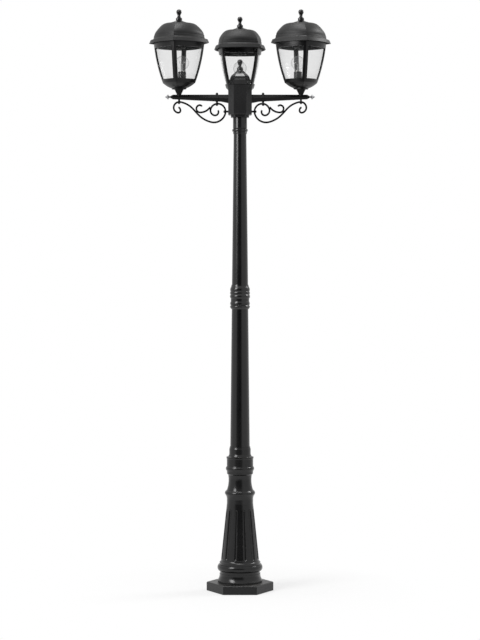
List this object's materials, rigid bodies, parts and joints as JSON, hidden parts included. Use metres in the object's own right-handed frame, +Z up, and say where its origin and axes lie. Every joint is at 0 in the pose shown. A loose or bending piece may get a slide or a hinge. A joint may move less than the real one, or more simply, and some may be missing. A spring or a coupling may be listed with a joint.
{
  "type": "lamp post",
  "caption": "Black lamp post with a fluted pedestal, turned collars, and bowed-glass lanterns with clear lamps on tapered arms with scroll brackets.",
  "frame": {"origin": "centre of the foot plate's underside, on the post's axis", "axes": "+Z up the post; +X to the right-hand arm; +Y to the rear arm; -Y is the hub's bare face"},
  "size_m": [0.7262, 0.4683, 2.3243],
  "materials": {
    "black_paint": "satin black powder coat on cast aluminium",
    "pewter_paint": "satin pewter grey on a cast tip",
    "zinc_steel": "zinc-plated screws",
    "block_plastic": "cream moulded block",
    "lead_jacket": "black insulated lead",
    "pane_glass": "clear bowed pane",
    "shield_steel": "dark painted sheet",
    "holder_plastic": "glossy black shell",
    "cap_metal": "bright screw cap",
    "lamp_glass": "clear thin globe"
  },
  "bodies": {
    "post": {"base_plate": "black_paint", "foot_flange": "black_paint", "pedestal": "black_paint", "pedestal_neck": "black_paint", "lower_column": "black_paint", "mid_collar": "black_paint", "upper_column": "black_paint", "top_collar": "black_paint", "hub": "black_paint", "hub_cap": "black_paint", "hub_finial": "black_paint", "hub_screws": "black_paint", "arm_screws": "zinc_steel", "terminal_block": "block_plastic", "arm_leads": "lead_jacket", "arm_left": "black_paint", "arm_spear_left": "pewter_paint", "arm_collar_left": "black_paint", "scroll_bracket_left": "black_paint", "scroll_studs_left": "black_paint", "lantern_stem_left": "black_paint", "lantern_pan_left": "black_paint", "lantern_frame_left": "black_paint", "glass_panes_left": "pane_glass", "lamp_holder_left": "holder_plastic", "arm_right": "black_paint", "arm_spear_right": "pewter_paint", "arm_collar_right": "black_paint", "scroll_bracket_right": "black_paint", "scroll_studs_right": "black_paint", "lantern_stem_right": "black_paint", "lantern_pan_right": "black_paint", "lantern_frame_right": "black_paint", "glass_panes_right": "pane_glass", "lamp_holder_right": "holder_plastic", "arm_rear": "black_paint", "arm_spear_rear": "pewter_paint", "arm_collar_rear": "black_paint", "scroll_bracket_rear": "black_paint", "scroll_studs_rear": "black_paint", "lantern_stem_rear": "black_paint", "lantern_pan_rear": "black_paint", "lantern_frame_rear": "black_paint", "glass_panes_rear": "pane_glass", "lamp_holder_rear": "holder_plastic"},
    "roof_body_left": {"roof_left": "black_paint", "heat_shield_left": "shield_steel", "roof_finial_left": "black_paint"},
    "lamp_body_left": {"lamp_cap_left": "cap_metal", "lamp_globe_left": "lamp_glass"},
    "roof_body_right": {"roof_right": "black_paint", "heat_shield_right": "shield_steel", "roof_finial_right": "black_paint"},
    "lamp_body_right": {"lamp_cap_right": "cap_metal", "lamp_globe_right": "lamp_glass"},
    "roof_body_rear": {"roof_rear": "black_paint", "heat_shield_rear": "shield_steel", "roof_finial_rear": "black_paint"},
    "lamp_body_rear": {"lamp_cap_rear": "cap_metal", "lamp_globe_rear": "lamp_glass"}
  },
  "joints": [
    {"name": "roof_lift_left", "type": "slide", "parent": "post", "child": "roof_body_left", "axis": [0, 0, 1], "range_m": [0, 0.2]},
    {"name": "lamp_turn_left", "type": "hinge", "parent": "post", "child": "lamp_body_left", "pos_m": [-0.23104, 0.00837, 2.08], "axis": [0, 0, 1], "range_deg": [0, 1080]},
    {"name": "roof_lift_right", "type": "slide", "parent": "post", "child": "roof_body_right", "axis": [0, 0, 1], "range_m": [0, 0.2]},
    {"name": "lamp_turn_right", "type": "hinge", "parent": "post", "child": "lamp_body_right", "pos_m": [0.23104, 0.00837, 2.08], "axis": [0, 0, 1], "range_deg": [0, 1080]},
    {"name": "roof_lift_rear", "type": "slide", "parent": "post", "child": "roof_body_rear", "axis": [0, 0, 1], "range_m": [0, 0.2]},
    {"name": "lamp_turn_rear", "type": "hinge", "parent": "post", "child": "lamp_body_rear", "pos_m": [0, 0.2284, 2.08], "axis": [0, 0, 1], "range_deg": [0, 1080]}
  ]
}
